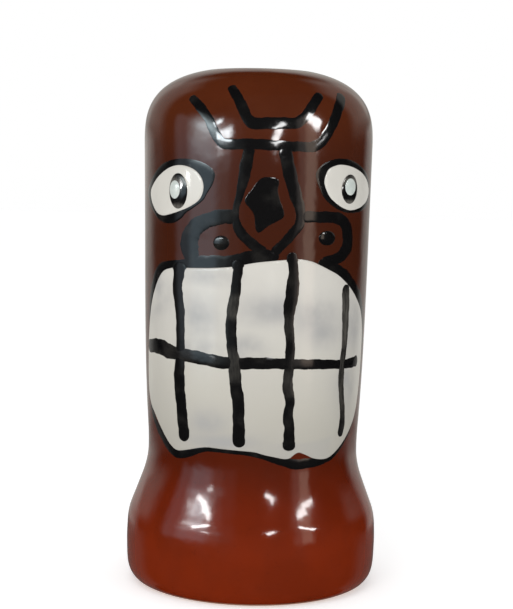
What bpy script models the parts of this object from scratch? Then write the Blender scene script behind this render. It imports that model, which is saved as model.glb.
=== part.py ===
"""Tiki mug: a slip-cast, glazed earthenware vessel with a mask painted round its front.

The mug stands on its foot ring with +Z up and its origin at the middle of the base.
The mask looks along -Y, so +X is the viewer's right, and "left" and "right" in the
names of the pieces are the viewer's own. A place on the outside is given as degrees
round from the middle of the face, positive to the right, and a height above the table.
"""
import math

import bmesh
import bpy
import numpy as np

MM = 0.001

# Driving dimensions of the body, in millimetres
WALL = 4.5                 # thickness of the cast wall
LIP_RADIUS = WALL / 2      # the lip is a full half round across the wall
HEAD_RADIUS = 38.0         # the head, where the crown starts to turn in
NECK_RADIUS = 35.1         # the waist under the mouth
BASE_RADIUS = 41.9         # the bulge that the mug stands on
SHOULDER_HEIGHT = 147.0    # where the crown starts to turn in
CROWN_RISE = 24.32         # from there to the top that a closed crown would have
CROWN_POWER = 2.8          # 2 is an ellipse, higher is squarer
CREST_RADIUS = 19.05       # where the crown hands over to the lip
MOUTH_RADIUS = 16.0        # nothing is nearer the axis but the floor and the lip
FOOT_OUTER_RADIUS = 36.3   # the flat ring that touches the table
FOOT_INNER_RADIUS = 31.0
FOOT_RECESS = 2.0          # how far the underside is let in
FLOOR_HEIGHT = 7.0         # the inside floor
SEGMENTS = 48              # round the body

# The outside from the table to the shoulder: (height, radius)
SIDE_POINTS = [
    (0.0, FOOT_OUTER_RADIUS), (1.6, 39.2), (5.5, 41.35), (13.5, BASE_RADIUS), (19.0, 41.8),
    (22.0, 41.6), (25.0, 41.0), (28.0, 39.9), (33.0, 38.0), (37.0, 36.55), (40.0, 35.72),
    (43.0, 35.22), (46.0, NECK_RADIUS), (51.0, 35.25), (57.0, 35.65), (64.0, 36.05),
    (78.0, 36.6), (100.0, 37.1), (125.0, 37.6), (SHOULDER_HEIGHT, HEAD_RADIUS),
]

# The face isn't quite round: (height, millimetres that its front stands out from the
# round body). The jaw comes forward and the brow leans back.
FACE_RELIEF = [
    (22.0, 0.0), (28.0, 0.35), (32.0, 0.8), (35.0, 1.3), (38.0, 1.9), (41.0, 2.4),
    (44.0, 2.6), (48.0, 2.6), (55.0, 2.3), (62.0, 2.0), (78.0, 1.4), (90.0, 0.95),
    (100.0, 0.5), (112.0, 0.0), (128.0, 0.0), (138.0, -0.1), (145.0, -0.45),
    (150.0, -0.8), (154.0, -1.05), (158.0, -1.1), (162.0, -0.9), (166.0, -0.4),
    (168.5, 0.0),
]
RELIEF_FULL = 20.0         # degrees from the middle of the face with all of the relief
RELIEF_END = 75.0          # degrees from the middle of the face where it has faded out

# The enamel, in millimetres
GAP = 0.3                  # between pieces that touch on the real mug
STROKE_THICKNESS = 0.5
PATCH_THICKNESS = 0.7
ON_GLAZE = GAP
ON_WHITE = GAP + PATCH_THICKNESS + GAP
ON_PUPIL = ON_WHITE + STROKE_THICKNESS + GAP
STROKE_STEP = 3.2          # between the sections of a stroke

# Colours, linear RGB, and roughness
GLAZE_BROWN = (0.085, 0.022, 0.010)
ENAMEL_WHITE = (0.62, 0.59, 0.53)
ENAMEL_BLACK = (0.009, 0.009, 0.011)
ENAMEL_PALE = (0.66, 0.70, 0.67)
GLAZE_ROUGHNESS = 0.12
ENAMEL_ROUGHNESS = 0.22

# Brush strokes: (degrees, height, width)
UPPER_BROW = [
    (-19.0, 163.0, 2.4), (-14.5, 158.0, 2.9), (-10.5, 154.0, 3.0), (-8.0, 151.4, 3.0),
    (3.0, 151.4, 2.8), (15.0, 151.9, 2.8), (20.5, 156.5, 2.8), (29.0, 161.3, 2.4),
]
LOWER_BROW = [
    (-41.0, 159.8, 1.6), (-30.5, 154.2, 3.0), (-25.0, 148.5, 3.0), (-20.5, 144.2, 3.0),
    (-12.0, 144.4, 3.0), (0.0, 144.7, 2.9), (12.0, 144.9, 2.8), (22.5, 144.8, 2.8),
    (28.5, 147.6, 3.0), (33.0, 152.3, 3.0), (38.0, 157.2, 3.0), (46.0, 161.4, 2.6),
]
NOSE_LEFT = [
    (-8.2, 142.3, 3.1), (-10.5, 137.8, 2.9), (-12.5, 132.8, 2.6), (-14.5, 127.4, 2.0),
    (-14.8, 123.3, 2.4), (-11.0, 118.5, 2.8), (-5.8, 115.5, 2.8), (-1.5, 113.2, 2.8),
]
NOSE_RIGHT = [
    (8.2, 142.5, 3.4), (10.5, 138.2, 3.2), (12.8, 133.2, 3.0), (15.2, 128.2, 3.0),
    (16.5, 124.8, 3.0), (16.0, 121.8, 3.0), (11.8, 118.1, 2.9), (6.5, 113.6, 2.8),
]
NOSTRIL_LEFT = [
    (-17.8, 122.9, 3.4), (-29.0, 122.5, 3.6), (-36.0, 119.6, 4.4), (-39.8, 115.5, 4.8),
    (-37.0, 110.4, 3.6),
]
NOSTRIL_RIGHT = [
    (19.8, 123.2, 3.4), (28.0, 123.2, 3.4), (37.5, 122.9, 3.2), (44.0, 121.6, 2.8),
    (49.0, 118.6, 2.9), (48.8, 114.2, 2.9), (43.5, 111.8, 2.9), (37.5, 110.6, 2.6),
]
UPPER_LIP_LEFT = [
    (-70.2, 92.6, 1.2), (-69.2, 98.5, 2.0), (-66.5, 101.5, 2.4), (-62.2, 104.4, 2.4),
    (-57.0, 106.0, 2.4), (-50.0, 106.9, 2.5), (-35.0, 107.6, 2.5), (-22.0, 108.1, 2.6),
    (-5.0, 110.3, 2.6), (2.0, 111.0, 2.5), (11.8, 110.4, 1.8),
]
UPPER_LIP_RIGHT = [
    (27.2, 108.9, 3.2), (35.0, 107.8, 3.0), (44.5, 104.9, 2.8), (55.0, 100.2, 2.6),
    (66.2, 95.0, 2.2), (80.8, 89.6, 1.2),
]
LOWER_LIP = [
    (-71.5, 57.7, 1.0), (-66.0, 53.8, 1.4), (-60.5, 50.0, 1.8), (-53.5, 46.9, 2.2),
    (-48.5, 45.7, 2.6), (-43.0, 45.6, 2.4), (-38.0, 46.6, 1.8), (-31.0, 48.0, 1.2),
    (-16.0, 48.1, 1.0), (-0.5, 47.2, 1.3), (7.0, 45.8, 1.9), (17.8, 44.0, 2.9),
    (29.8, 43.8, 2.7), (37.0, 44.6, 2.0), (44.5, 46.0, 1.3), (59.5, 52.3, 0.8),
]
BITE = [
    (-70.0, 80.6, 3.3), (-60.0, 80.5, 3.4), (-47.0, 79.2, 3.3), (-32.0, 78.3, 3.2),
    (-20.0, 77.2, 3.2), (-9.0, 77.0, 3.2), (10.0, 77.0, 3.2), (28.0, 76.4, 2.9),
    (45.0, 76.0, 2.8), (63.0, 75.7, 2.6),
]
# The lines between the teeth stop just short of the bite line that they cross
UPPER_TOOTH_LINES = [
    [(-44.3, 104.6, 2.8), (-45.2, 100.6, 3.2), (-44.8, 93.7, 3.3), (-43.9, 81.1, 3.4)],
    [(-13.0, 105.0, 2.8), (-14.0, 101.4, 3.1), (-15.2, 95.8, 3.3), (-15.8, 89.9, 3.3),
     (-15.0, 79.1, 3.2)],
    [(14.2, 107.2, 3.6), (13.8, 103.8, 3.7), (12.6, 94.5, 4.2), (12.2, 90.6, 2.9),
     (13.8, 79.1, 3.1)],
    [(46.5, 100.0, 2.2), (47.0, 95.0, 2.3), (47.6, 87.4, 1.7), (46.5, 77.9, 2.2)],
]
LOWER_TOOTH_LINES = [
    [(-44.0, 76.9, 3.4), (-44.2, 70.0, 3.4), (-43.2, 60.0, 3.8), (-41.8, 50.8, 3.6)],
    [(-13.9, 75.0, 3.1), (-13.2, 71.2, 3.0), (-11.4, 61.0, 3.3), (-11.0, 50.9, 3.2)],
    [(13.8, 75.0, 3.0), (12.5, 71.0, 2.9), (14.0, 65.5, 2.9), (13.6, 59.6, 2.8),
     (14.8, 55.8, 3.1), (14.6, 49.9, 3.0)],
    [(46.1, 74.1, 2.2), (46.2, 69.9, 2.2), (49.2, 58.0, 2.5), (48.2, 52.8, 2.6)],
]

# Filled shapes: the points of an outline, (degrees, height), joined by a smooth curve
MOUTH_PANEL = [
    (-57.0, 104.2), (-63.5, 99.5), (-69.0, 92.0), (-72.0, 82.0), (-72.5, 70.0),
    (-71.0, 61.0), (-65.0, 55.2), (-56.0, 50.6), (-48.0, 48.3), (-39.0, 49.0),
    (-29.0, 50.3), (-17.0, 49.7), (-5.0, 49.5), (15.0, 47.8), (33.0, 46.9), (41.0, 46.8),
    (50.0, 50.2), (59.0, 55.0), (65.5, 60.0), (68.5, 68.0), (68.0, 80.0), (65.0, 90.5),
    (55.0, 97.8), (43.0, 102.5), (29.0, 106.3), (21.0, 108.3), (9.0, 108.3),
    (-5.0, 107.5), (-15.0, 105.7), (-39.0, 105.1),
]
NOSE_DIAMOND = [
    (-2.5, 134.5), (4.0, 134.7), (5.8, 131.0), (8.5, 125.7), (8.0, 123.6), (-2.0, 118.2),
    (-4.8, 118.5), (-6.0, 121.8), (-10.2, 128.1), (-8.0, 130.8),
]
EYE_WHITE_LEFT = [
    (-70.0, 128.5), (-67.0, 132.0), (-60.0, 135.3), (-51.0, 138.2), (-42.5, 138.7),
    (-35.5, 137.3), (-31.6, 134.0), (-32.0, 130.0), (-37.0, 126.0), (-46.0, 123.7),
    (-57.0, 122.2), (-66.0, 125.0),
]
EYE_RIM_LEFT = [
    (-73.0, 129.0), (-69.5, 133.6), (-62.0, 137.0), (-51.0, 139.8), (-38.0, 140.2),
    (-30.0, 138.8), (-25.0, 136.3), (-25.4, 134.0), (-30.0, 128.6), (-38.0, 124.2),
    (-46.0, 122.2), (-57.5, 120.3), (-68.0, 123.6),
]
EYE_WHITE_RIGHT = [
    (29.0, 133.5), (30.5, 137.0), (36.0, 139.0), (45.0, 139.3), (55.0, 137.7),
    (64.0, 135.0), (68.0, 131.5), (64.5, 127.8), (56.0, 125.5), (48.0, 125.1),
    (40.0, 126.5), (33.0, 129.0),
]
EYE_RIM_RIGHT = [
    (24.0, 136.0), (26.5, 138.4), (33.0, 140.2), (44.0, 140.9), (56.0, 139.2),
    (66.0, 136.4), (71.0, 131.5), (67.0, 126.5), (57.0, 124.1), (47.0, 123.8),
    (39.0, 125.2), (31.0, 128.0), (26.0, 132.5),
]

# Ovals: (degrees, height, half width, half height), the halves in millimetres
PUPILS = {"left": (-46.7, 130.2, 4.1, 5.4), "right": (47.3, 132.0, 4.8, 4.6)}
PUPIL_DOTS = {"left": (-47.2, 130.5, 2.5, 3.1), "right": (47.3, 132.4, 2.8, 2.5)}
NOSTRIL_DOTS = {"left": (-21.8, 114.5, 2.35, 2.1), "right": (31.2, 116.5, 2.7, 2.1)}


# ---------------------------------------------------------------- curves

def smooth_curve(points, steps, closed=False):
    """Points along a Catmull-Rom curve through the given ones, steps to each stretch."""
    given = np.asarray(points, dtype=float)
    if closed:
        padded = np.vstack([given[-1:], given, given[:2]])
    else:
        padded = np.vstack([2 * given[0] - given[1], given, 2 * given[-1] - given[-2]])
    t = np.linspace(0.0, 1.0, steps, endpoint=False)[:, None]
    stretches = []
    for before, start, end, after in zip(padded, padded[1:], padded[2:], padded[3:]):
        stretches.append(0.5 * (
            2 * start
            + (end - before) * t
            + (2 * before - 5 * start + 4 * end - after) * t ** 2
            + (3 * start - before - 3 * end + after) * t ** 3
        ))
    if not closed:
        stretches.append(given[-1:])
    return np.vstack(stretches)


def running_length(points):
    """Distance along a line of points, from its first point to each of them."""
    steps = np.linalg.norm(np.diff(points[:, :2], axis=0), axis=1)
    return np.concatenate([[0.0], np.cumsum(steps)])


def read_at(points, lengths, places):
    """The line of points, read at the given distances along it."""
    columns = [np.interp(places, lengths, column) for column in points.T]
    return np.stack(columns, axis=1)


# ---------------------------------------------------------------- the outside of the body

def crown_points(angles):
    """The crown's superellipse, (height, radius) at each angle from the shoulder up."""
    power = 2.0 / CROWN_POWER
    height = SHOULDER_HEIGHT + CROWN_RISE * np.sin(angles) ** power
    radius = HEAD_RADIUS * np.cos(angles) ** power
    return np.stack([height, radius], axis=1)


def outer_profile(side_steps, crown_steps):
    """The outside from the table to the crest, as rows of (height, radius)."""
    side = smooth_curve(SIDE_POINTS, side_steps)
    crest_angle = math.acos((CREST_RADIUS / HEAD_RADIUS) ** (CROWN_POWER / 2.0))
    crown = crown_points(np.linspace(0.0, crest_angle, crown_steps + 1)[1:])
    return np.vstack([side, crown])


def relief(height, degrees):
    """How far the face stands out from the round body at a height and degrees round it."""
    share = (RELIEF_END - np.abs(degrees)) / (RELIEF_END - RELIEF_FULL)
    share = np.clip(share, 0.0, 1.0)
    faded = share * share * (3.0 - 2.0 * share)
    return np.interp(height, RELIEF_CURVE[:, 0], RELIEF_CURVE[:, 1]) * faded


def outward_normals(profile):
    """The unit normal at each row of a profile, as (height, radius) parts."""
    tangent = np.gradient(profile, axis=0)
    normal = np.stack([-tangent[:, 1], tangent[:, 0]], axis=1)
    return normal / np.linalg.norm(normal, axis=1)[:, None]


RELIEF_CURVE = smooth_curve(FACE_RELIEF, 8)
OUTSIDE = outer_profile(side_steps=24, crown_steps=60)
OUTSIDE_NORMALS = outward_normals(OUTSIDE)
OUTSIDE_ARC = running_length(OUTSIDE)


def flatten(points):
    """Rows of (degrees, height, ...) as (distance round the head, distance up it, ...)."""
    rows = np.array(points, dtype=float)
    rows[:, 0] = np.radians(rows[:, 0]) * HEAD_RADIUS
    rows[:, 1] = np.interp(rows[:, 1], OUTSIDE[:, 0], OUTSIDE_ARC)
    return rows


def girth_factor(arc):
    """The body's radius at a distance up its side, as a share of the head's radius."""
    return np.interp(arc, OUTSIDE_ARC, OUTSIDE[:, 1]) / HEAD_RADIUS


def wrap(flat, lift):
    """Points of the flat drawing, wrapped round the body at a height above its surface."""
    angle = flat[:, 0] / HEAD_RADIUS
    height, radius = read_at(OUTSIDE, OUTSIDE_ARC, flat[:, 1]).T
    up, out = read_at(OUTSIDE_NORMALS, OUTSIDE_ARC, flat[:, 1]).T
    radius = radius + out * lift + relief(height, np.degrees(angle))
    height = height + up * lift
    wrapped = [radius * np.sin(angle), -radius * np.cos(angle), height]
    return np.stack(wrapped, axis=1) * MM


# ---------------------------------------------------------------- making objects

def clear_scene():
    for item in list(bpy.data.objects):
        bpy.data.objects.remove(item, do_unlink=True)


def glossy(name, colour, roughness):
    """A fired glaze or enamel."""
    material = bpy.data.materials.new(name)
    material.use_nodes = True
    shader = material.node_tree.nodes["Principled BSDF"]
    shader.inputs["Base Color"].default_value = (*colour, 1.0)
    shader.inputs["Roughness"].default_value = roughness
    shader.inputs["Metallic"].default_value = 0.0
    material.diffuse_color = (*colour, 1.0)
    return material


def add_object(name, shape, colour, roughness, sharp_degrees=40.0):
    """Turn a bmesh into a named object with its own material."""
    bmesh.ops.recalc_face_normals(shape, faces=shape.faces)
    mesh = bpy.data.meshes.new(name)
    shape.to_mesh(mesh)
    shape.free()
    mesh.shade_smooth()
    mesh.set_sharp_from_angle(angle=math.radians(sharp_degrees))
    mesh.materials.append(glossy(name, colour, roughness))
    piece = bpy.data.objects.new(name, mesh)
    bpy.context.scene.collection.objects.link(piece)
    return piece


def add_loop(shape, places):
    return [shape.verts.new(place) for place in places]


def join_loops(shape, first, second):
    """Quads between two closed loops of the same length."""
    count = len(first)
    for here in range(count):
        there = (here + 1) % count
        shape.faces.new((first[here], first[there], second[there], second[here]))


def fan(shape, loop, centre):
    """Triangles from a closed loop to a point in its middle."""
    for here, there in zip(loop, loop[1:] + loop[:1]):
        shape.faces.new((here, there, centre))


# ---------------------------------------------------------------- the pieces

def body_profile():
    """The body's closed section, (height, radius), from the underside round to the floor."""
    outside = outer_profile(side_steps=2, crown_steps=8)
    normals = np.vstack([
        read_at(OUTSIDE_NORMALS, OUTSIDE[:, 0], outside[:-1, 0]),
        OUTSIDE_NORMALS[-1:],
    ])
    underside = [(FOOT_RECESS, 0.0), (FOOT_RECESS, FOOT_INNER_RADIUS - 1.0),
                 (0.0, FOOT_INNER_RADIUS)]
    crest = outside[-1]
    out = normals[-1]
    lip_centre = crest - out * LIP_RADIUS
    inward = np.array([out[1], -out[0]])
    turns = np.radians([30.0, 60.0, 90.0, 120.0, 150.0])
    lip = [lip_centre + LIP_RADIUS * (out * math.cos(a) + inward * math.sin(a))
           for a in turns]
    inside = outside - normals * WALL
    inside = inside[inside[:, 0] > FLOOR_HEIGHT + 5.0][::-2]
    floor = [(FLOOR_HEIGHT + 1.5, 34.5), (FLOOR_HEIGHT, 31.5), (FLOOR_HEIGHT, 0.0)]
    return np.vstack([underside, outside, lip, inside, floor])


def mug_body():
    """The cast vessel: one wall, a floor, and a closed-in mouth in the flat crown."""
    shape = bmesh.new()
    section = [shape.verts.new((radius * MM, 0.0, height * MM))
               for height, radius in body_profile()]
    edges = [shape.edges.new(pair) for pair in zip(section, section[1:])]
    bmesh.ops.spin(shape, geom=section + edges, axis=(0, 0, 1), cent=(0, 0, 0),
                   angle=math.tau, steps=SEGMENTS, use_duplicate=False)
    bmesh.ops.remove_doubles(shape, verts=shape.verts, dist=0.001 * MM)
    for vert in shape.verts:
        x, y, z = vert.co
        radius = math.hypot(x, y)
        if radius > MOUTH_RADIUS * MM:
            out = relief(z / MM, math.degrees(math.atan2(x, -y))) * MM / radius
            vert.co = (x + x * out, y + y * out, z)
    add_object("mug_body", shape, GLAZE_BROWN, GLAZE_ROUGHNESS, sharp_degrees=50.0)


def stroke(name, points, lift):
    """A brush stroke: a ribbon of enamel with chamfered edges and narrowed ends."""
    line = smooth_curve(flatten(points), 8)
    lengths = running_length(line)
    whole = lengths[-1]
    end_width = min(line[0, 2], line[-1, 2])
    near_ends = [0.0, 0.15 * end_width, 0.5 * end_width]
    middle = np.linspace(near_ends[-1], whole - near_ends[-1],
                         max(3, round(whole / STROKE_STEP)))[1:-1]
    places = np.concatenate([near_ends, middle, whole - np.array(near_ends[::-1])])
    stations = read_at(line, lengths, places)
    width = stations[:, 2] / 2
    narrowed = np.array([0.4, 0.75, 1.0])
    width[:3] *= narrowed
    width[-3:] *= narrowed[::-1]
    girth = girth_factor(stations[:, 1])
    heading = np.gradient(stations[:, :2], axis=0)
    heading[:, 0] *= girth
    heading /= np.linalg.norm(heading, axis=1)[:, None]
    side = np.stack([-heading[:, 1] / girth, heading[:, 0]], axis=1) * width[:, None]
    centre = stations[:, :2]
    corners = [
        wrap(centre + side, lift),
        wrap(centre - side, lift),
        wrap(centre - side * 0.75, lift + STROKE_THICKNESS),
        wrap(centre + side * 0.75, lift + STROKE_THICKNESS),
    ]
    shape = bmesh.new()
    loops = [add_loop(shape, section) for section in zip(*corners)]
    for first, second in zip(loops, loops[1:]):
        join_loops(shape, first, second)
    shape.faces.new(loops[0])
    shape.faces.new(loops[-1])
    add_object(name, shape, ENAMEL_BLACK, ENAMEL_ROUGHNESS)


def patch(name, loop, lift, thickness, rings, colour):
    """A filled shape inside a loop of the flat drawing, with its rim chamfered."""
    centre = loop.mean(axis=0)
    shape = bmesh.new()
    rims = []
    for height, widest in ((lift, 1.0), (lift + thickness, 1.0 - 0.35 / np.ptp(loop[:, 1]))):
        shares = np.linspace(widest, 0.0, rings + 1)[:-1]
        loops = [add_loop(shape, wrap(centre + (loop - centre) * share, height))
                 for share in shares]
        for first, second in zip(loops, loops[1:]):
            join_loops(shape, first, second)
        fan(shape, loops[-1], shape.verts.new(wrap(centre[None, :], height)[0]))
        rims.append(loops[0])
    join_loops(shape, *rims)
    add_object(name, shape, colour, ENAMEL_ROUGHNESS)


def outline_loop(points, count):
    """An outline's smooth curve, closed, as evenly spaced points of the flat drawing."""
    line = smooth_curve(flatten(points), 10, closed=True)
    line = np.vstack([line, line[:1]])
    lengths = running_length(line)
    places = np.linspace(0.0, lengths[-1], count, endpoint=False)
    return read_at(line, lengths, places)


def oval_loop(oval, count):
    degrees, height, half_width, half_height = oval
    centre = flatten([(degrees, height)])[0]
    turn = np.linspace(0.0, math.tau, count, endpoint=False)
    ring = np.stack([half_width * np.cos(turn), half_height * np.sin(turn)], axis=1)
    return centre + ring


def polar_loop(points, centre, turns):
    """An outline's distance from a centre at each of the given turns round it."""
    line = smooth_curve(flatten(points), 10, closed=True) - centre
    turn = np.arctan2(line[:, 1], line[:, 0])
    reach = np.linalg.norm(line, axis=1)
    return np.interp(turns, *zip(*sorted(zip(turn, reach))), period=math.tau)


def rim(name, inner_points, outer_points, lift, count):
    """The black line round an eye: a ring that keeps a gap to the white inside it."""
    centre = flatten(inner_points).mean(axis=0)
    turns = np.linspace(-math.pi, math.pi, count, endpoint=False)
    around = np.stack([np.cos(turns), np.sin(turns)], axis=1)
    inner = polar_loop(inner_points, centre, turns)[:, None] + GAP
    outer = polar_loop(outer_points, centre, turns)[:, None]
    chamfer = 0.12 * (outer - inner)
    top = lift + STROKE_THICKNESS
    shape = bmesh.new()
    sections = [
        add_loop(shape, wrap(centre + around * outer, lift)),
        add_loop(shape, wrap(centre + around * (outer - chamfer), top)),
        add_loop(shape, wrap(centre + around * (inner + chamfer), top)),
        add_loop(shape, wrap(centre + around * inner, lift)),
    ]
    for first, second in zip(sections, sections[1:] + sections[:1]):
        join_loops(shape, first, second)
    add_object(name, shape, ENAMEL_BLACK, ENAMEL_ROUGHNESS)


def mouth():
    patch("mouth_panel", outline_loop(MOUTH_PANEL, 48), ON_GLAZE, PATCH_THICKNESS, 7,
          ENAMEL_WHITE)
    stroke("bite_line", BITE, ON_WHITE)
    for number, points in enumerate(UPPER_TOOTH_LINES, start=1):
        stroke(f"tooth_line_upper_{number}", points, ON_WHITE)
    for number, points in enumerate(LOWER_TOOTH_LINES, start=1):
        stroke(f"tooth_line_lower_{number}", points, ON_WHITE)
    stroke("upper_lip_line_left", UPPER_LIP_LEFT, ON_GLAZE)
    stroke("upper_lip_line_right", UPPER_LIP_RIGHT, ON_GLAZE)
    stroke("lower_lip_line", LOWER_LIP, ON_GLAZE)


def brow_and_nose():
    stroke("upper_brow_line", UPPER_BROW, ON_GLAZE)
    stroke("lower_brow_line", LOWER_BROW, ON_GLAZE)
    stroke("nose_line_left", NOSE_LEFT, ON_GLAZE)
    stroke("nose_line_right", NOSE_RIGHT, ON_GLAZE)
    patch("nose_diamond", outline_loop(NOSE_DIAMOND, 20), ON_GLAZE, STROKE_THICKNESS, 3,
          ENAMEL_BLACK)
    stroke("nostril_line_left", NOSTRIL_LEFT, ON_GLAZE)
    stroke("nostril_line_right", NOSTRIL_RIGHT, ON_GLAZE)
    for side, oval in NOSTRIL_DOTS.items():
        patch(f"nostril_dot_{side}", oval_loop(oval, 16), ON_GLAZE, STROKE_THICKNESS, 2,
              ENAMEL_BLACK)


def eyes():
    outlines = {
        "left": (EYE_WHITE_LEFT, EYE_RIM_LEFT),
        "right": (EYE_WHITE_RIGHT, EYE_RIM_RIGHT),
    }
    for side, (white, outer) in outlines.items():
        patch(f"eye_white_{side}", outline_loop(white, 24), ON_GLAZE, PATCH_THICKNESS, 4,
              ENAMEL_WHITE)
        rim(f"eye_outline_{side}", white, outer, ON_GLAZE, 36)
        patch(f"pupil_{side}", oval_loop(PUPILS[side], 20), ON_WHITE, STROKE_THICKNESS, 2,
              ENAMEL_BLACK)
        patch(f"pupil_dot_{side}", oval_loop(PUPIL_DOTS[side], 16), ON_PUPIL,
              STROKE_THICKNESS, 2, ENAMEL_PALE)


clear_scene()
mug_body()
mouth()
brow_and_nose()
eyes()
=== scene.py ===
"""Looks of the tiki mug: its glazed body, the painted enamel, and a plain pale studio.

The pieces are fine meshes in the shape that the frame's solids have. They are worked out
in millimetres and become metres as they are made. A place on the outside is given as
degrees round from the middle of the face, positive to the viewer's right, and a height
above the table. A place in the flat drawing is a distance round the head and a distance
up the side of the mug.
"""
import math

import bpy
import numpy as np
from mathutils import Matrix, Vector


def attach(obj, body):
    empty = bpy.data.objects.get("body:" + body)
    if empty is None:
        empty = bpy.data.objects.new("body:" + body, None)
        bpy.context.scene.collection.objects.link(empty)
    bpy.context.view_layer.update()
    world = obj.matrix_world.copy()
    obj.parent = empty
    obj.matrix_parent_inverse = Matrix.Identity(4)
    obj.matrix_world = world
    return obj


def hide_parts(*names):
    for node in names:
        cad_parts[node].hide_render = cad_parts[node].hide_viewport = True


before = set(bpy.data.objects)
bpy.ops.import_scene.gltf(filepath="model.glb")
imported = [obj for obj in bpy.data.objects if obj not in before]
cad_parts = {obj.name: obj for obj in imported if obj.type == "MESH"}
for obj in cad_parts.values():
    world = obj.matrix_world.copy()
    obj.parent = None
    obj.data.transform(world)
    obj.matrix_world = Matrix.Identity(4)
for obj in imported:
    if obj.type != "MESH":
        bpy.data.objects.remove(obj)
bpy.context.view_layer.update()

MM = 0.001

# The body, in millimetres: the same driving dimensions as the solids
WALL = 4.5
LIP_RADIUS = WALL / 2
HEAD_RADIUS = 38.0
NECK_RADIUS = 35.1
BASE_RADIUS = 41.9
SHOULDER_HEIGHT = 147.0
CROWN_RISE = 24.32
CROWN_POWER = 2.8
CREST_RADIUS = 19.05
FOOT_OUTER_RADIUS = 36.3
FOOT_INNER_RADIUS = 31.0
FOOT_RECESS = 2.0
FLOOR_HEIGHT = 7.0
FLOOR_RADIUS = 31.5
FLOOR_CORNER = 5.0         # how high over the floor its corner starts
LIP_HEIGHT = 169.98        # the top of the lip, a hair under the solids' top

# The outside from the table to the shoulder: (height, radius)
SIDE_POINTS = [
    (0, FOOT_OUTER_RADIUS), (1.6, 39.2), (5.5, 41.35), (13.5, BASE_RADIUS), (19, 41.8), (22, 41.6),
    (25, 41), (28, 39.9), (33, 38), (37, 36.55), (40, 35.72), (43, 35.22), (46, NECK_RADIUS),
    (51, 35.25), (57, 35.65), (64, 36.05), (78, 36.6), (100, 37.1), (125, 37.6),
    (SHOULDER_HEIGHT, HEAD_RADIUS),
]

# The face isn't quite round: (height, millimetres that its front stands out from the
# round body). The jaw comes forward and the brow leans back.
FACE_RELIEF = [
    (22, 0), (28, 0.35), (32, 0.8), (35, 1.3), (38, 1.9), (41, 2.4), (44, 2.6), (48, 2.6),
    (55, 2.3), (62, 2), (78, 1.4), (90, 0.95), (100, 0.5), (112, 0), (128, 0), (138, -0.1),
    (145, -0.45), (150, -0.8), (154, -1.05), (158, -1.1), (162, -0.9), (166, -0.4), (168.5, 0),
]
RELIEF_FULL = 20.0         # degrees from the middle of the face with all of the relief
RELIEF_END = 75.0          # degrees from the middle of the face where it has faded out

# How fine the meshes are: numbers of points, and steps and rings in millimetres
SEGMENTS = 192             # round the body
PROFILE_STEP = 0.25
PROFILE_PASSES = 20        # how often the profile's corners are taken off
ROW_STEP = 1.0
INSIDE_ROWS = 90
CURVE_STEPS = 16           # from one given point of a painted line to the next
STROKE_STEP = 0.5
EDGE_STEP = 0.7            # along the outline of a filled shape
EDGE_ROWS = 7              # over its rounded edge
OVAL_POINTS = 48           # round an oval
RIM_POINTS = 160           # round the black line of an eye
MIDDLE_RING = 0.5          # radius of the smallest ring of the floor, and underneath
CENTRE_RING = 0.16         # radius of the smallest ring of a filled shape

# The enamel, in millimetres
SINK = 0.015               # how far its underside is let into the glaze
WHITE_SINK = 0.03          # the same for a stroke on the white, which is less even
STROKE_HEIGHT = 0.055
PATCH_HEIGHT = 0.30
PUPIL_DOME = 0.4           # how much higher a pupil's middle is than its edge
RIM_OVERLAP = 0.35         # how far an eye's white lies over the black line round it

# How the brush leaves a stroke
BRUSH_SPREAD = 1.1         # how much wider the enamel runs than the brush
UNEVEN_WIDTH = 0.07        # how much the width and the load change along it, as shares
UNEVEN_LOAD = 0.18
STEADY_END = 3.0           # millimetres over which they fade out towards each end
DOME_POWER = 3.5           # how flat-topped it is across

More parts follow.
